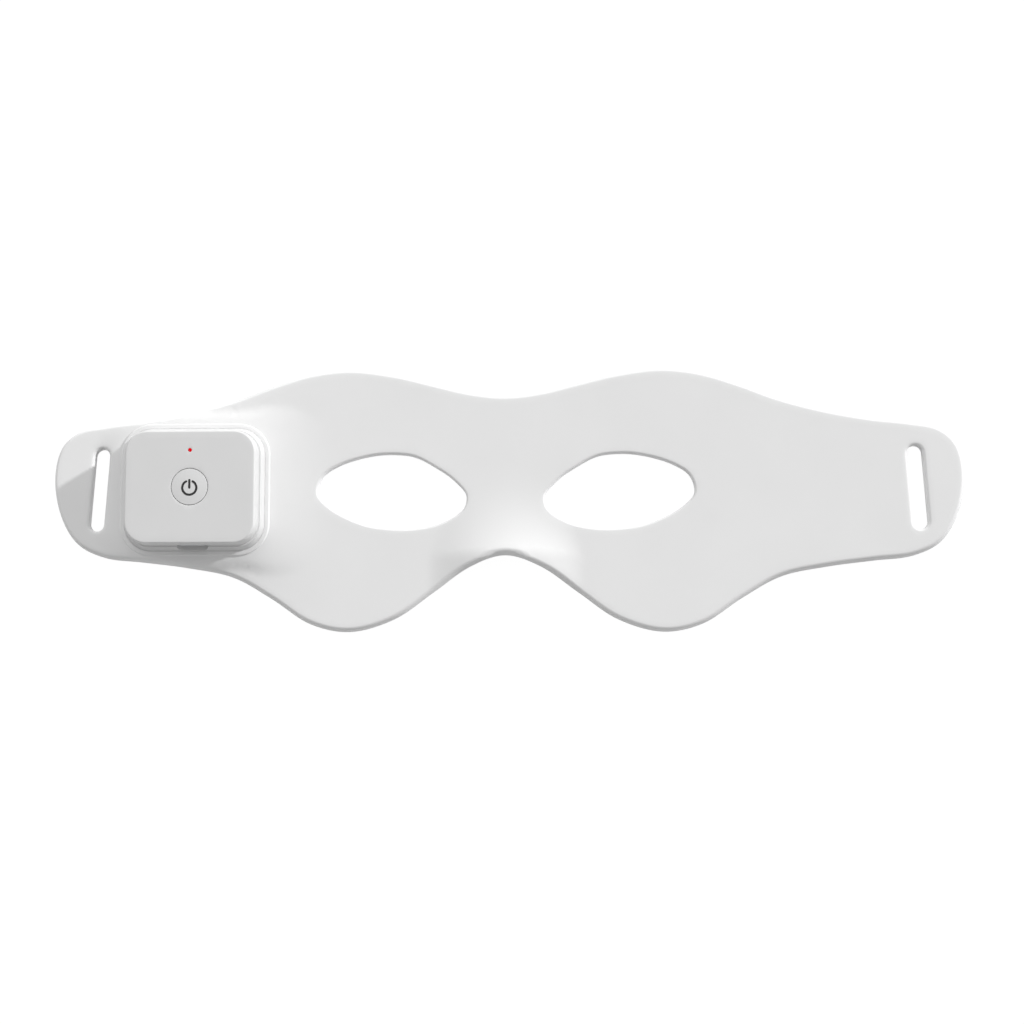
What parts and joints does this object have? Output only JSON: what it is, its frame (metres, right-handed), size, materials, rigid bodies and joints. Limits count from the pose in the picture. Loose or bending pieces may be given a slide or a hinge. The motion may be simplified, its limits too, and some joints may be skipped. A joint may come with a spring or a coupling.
{
  "type": "electric eye mask",
  "caption": "Soft silicone light-therapy eye mask with two eye openings, strap slots at both ends, face-side lamps and a rounded rechargeable controller with a press button.",
  "frame": {"origin": "bottom centre of the mask's box, on the surface that its face side lies on", "axes": "+X along the mask, towards the wing without the controller; +Y towards the wearer's forehead; +Z out of the front, away from the face"},
  "size_m": [0.2796, 0.0812, 0.0136],
  "materials": {
    "white_silicone": "matte moulded silicone",
    "liner_silicone": "matte translucent silicone",
    "flex_circuit": "satin polyimide film",
    "controller_shell": "fine matt moulded plastic",
    "seal_rubber": "matt",
    "black_plastic": "matt",
    "brown_plastic": "satin",
    "indicator_red": "clear red light pipe",
    "lamp_cream": "cast resin",
    "lamp_dark": "dark cast resin",
    "board_green": "solder mask",
    "coil_grey": "matt ferrite",
    "ceramic_tan": "ceramic",
    "connector_cream": "satin",
    "port_steel": "drawn steel",
    "battery_foil": "pouch foil",
    "dark_foam": "foam tape",
    "lead_red": "insulation",
    "lead_black": "insulation",
    "screw_steel": "zinc plated"
  },
  "bodies": {
    "mask": {"front_skin": "white_silicone", "face_liner": "liner_silicone", "led_circuit": "flex_circuit", "controller_base": "controller_shell", "controller_cover": "controller_shell", "seal_ring": "seal_rubber", "switch_body": "black_plastic", "indicator_lens": "indicator_red", "indicator_led": "lamp_cream", "main_board": "board_green", "control_chip": "black_plastic", "charger_chip": "black_plastic", "driver_coil": "coil_grey", "input_capacitor": "ceramic_tan", "output_capacitor": "ceramic_tan", "board_connector": "connector_cream", "charge_port": "port_steel", "port_tongue": "black_plastic", "battery_cell": "battery_foil", "battery_pad": "dark_foam", "battery_lead_red": "lead_red", "battery_lead_black": "lead_black", "red_led_01": "lamp_cream", "infrared_led_01": "lamp_dark", "red_led_02": "lamp_cream", "infrared_led_02": "lamp_dark", "red_led_03": "lamp_cream", "infrared_led_03": "lamp_dark", "red_led_04": "lamp_cream", "infrared_led_04": "lamp_dark", "red_led_05": "lamp_cream", "infrared_led_05": "lamp_dark", "red_led_06": "lamp_cream", "infrared_led_06": "lamp_dark", "red_led_07": "lamp_cream", "infrared_led_07": "lamp_dark", "red_led_08": "lamp_cream", "infrared_led_08": "lamp_dark", "red_led_09": "lamp_cream", "infrared_led_09": "lamp_dark", "red_led_10": "lamp_cream", "infrared_led_10": "lamp_dark", "red_led_11": "lamp_cream", "infrared_led_11": "lamp_dark", "red_led_12": "lamp_cream", "infrared_led_12": "lamp_dark", "case_screw_1": "screw_steel", "case_screw_2": "screw_steel", "case_screw_3": "screw_steel", "case_screw_4": "screw_steel"},
    "button": {"power_button": "controller_shell"},
    "plunger": {"switch_plunger": "brown_plastic"}
  },
  "joints": [
    {"name": "power_button_press", "type": "slide", "parent": "mask", "child": "button", "axis": [0, 0, -1], "range_m": [0, 0.00035], "stiffness_N_per_m": 2000},
    {"name": "switch_plunger_press", "type": "slide", "parent": "mask", "child": "plunger", "axis": [0, 0, -1], "range_m": [0, 0.00035]}
  ],
  "couplings": [
    {"joint": "switch_plunger_press", "follows": "power_button_press", "ratio": 1}
  ]
}
